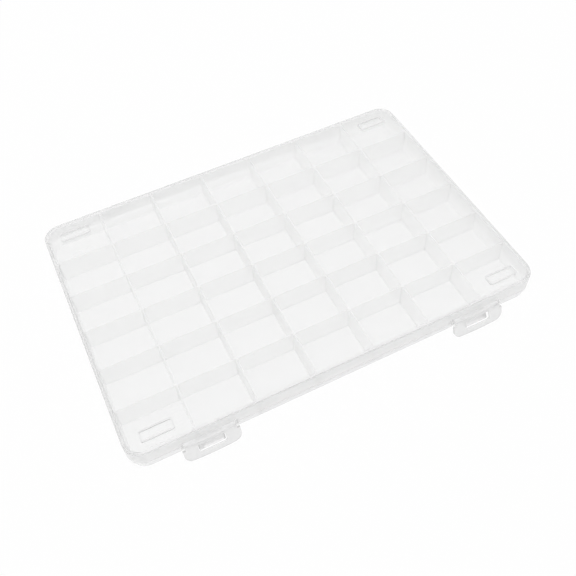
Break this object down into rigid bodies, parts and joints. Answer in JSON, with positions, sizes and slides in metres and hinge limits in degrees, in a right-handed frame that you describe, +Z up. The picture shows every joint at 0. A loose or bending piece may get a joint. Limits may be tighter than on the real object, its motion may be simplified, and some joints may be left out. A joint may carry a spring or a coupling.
{
  "type": "compartment bead box",
  "caption": "Flat clear box with fixed walls that divide it into equal compartments, one hinged lid over all of them and a pair of front snap latches.",
  "frame": {"origin": "centre of the bounding box's bottom, on the surface that the feet stand on, with the latches ajar as at rest", "axes": "+X along the front to the right, +Y from the latches to the hinges, +Z up"},
  "size_m": [0.28, 0.2054, 0.0216],
  "materials": {
    "clear_polypropylene": "clear, slightly milky moulded polypropylene"
  },
  "bodies": {
    "tray": {"tray": "clear_polypropylene", "row_wall_1": "clear_polypropylene", "row_wall_2": "clear_polypropylene", "row_wall_3": "clear_polypropylene", "row_wall_4": "clear_polypropylene", "row_wall_5": "clear_polypropylene", "column_wall_1": "clear_polypropylene", "column_wall_2": "clear_polypropylene", "column_wall_3": "clear_polypropylene", "column_wall_4": "clear_polypropylene", "column_wall_5": "clear_polypropylene", "column_wall_6": "clear_polypropylene"},
    "lid": {"lid": "clear_polypropylene"},
    "latch_left": {"latch_left": "clear_polypropylene"},
    "latch_right": {"latch_right": "clear_polypropylene"}
  },
  "joints": [
    {"name": "lid_hinge", "type": "hinge", "parent": "tray", "child": "lid", "pos_m": [0, 0.10046, 0.011], "axis": [-1, 0, 0], "range_deg": [0, 180]},
    {"name": "latch_left_pivot", "type": "hinge", "parent": "lid", "child": "latch_left", "pos_m": [-0.0921, -0.09664, 0.0128], "axis": [-1, 0, 0], "range_deg": [-15, 75]},
    {"name": "latch_right_pivot", "type": "hinge", "parent": "lid", "child": "latch_right", "pos_m": [0.0921, -0.09664, 0.0128], "axis": [-1, 0, 0], "range_deg": [-15, 75]}
  ]
}
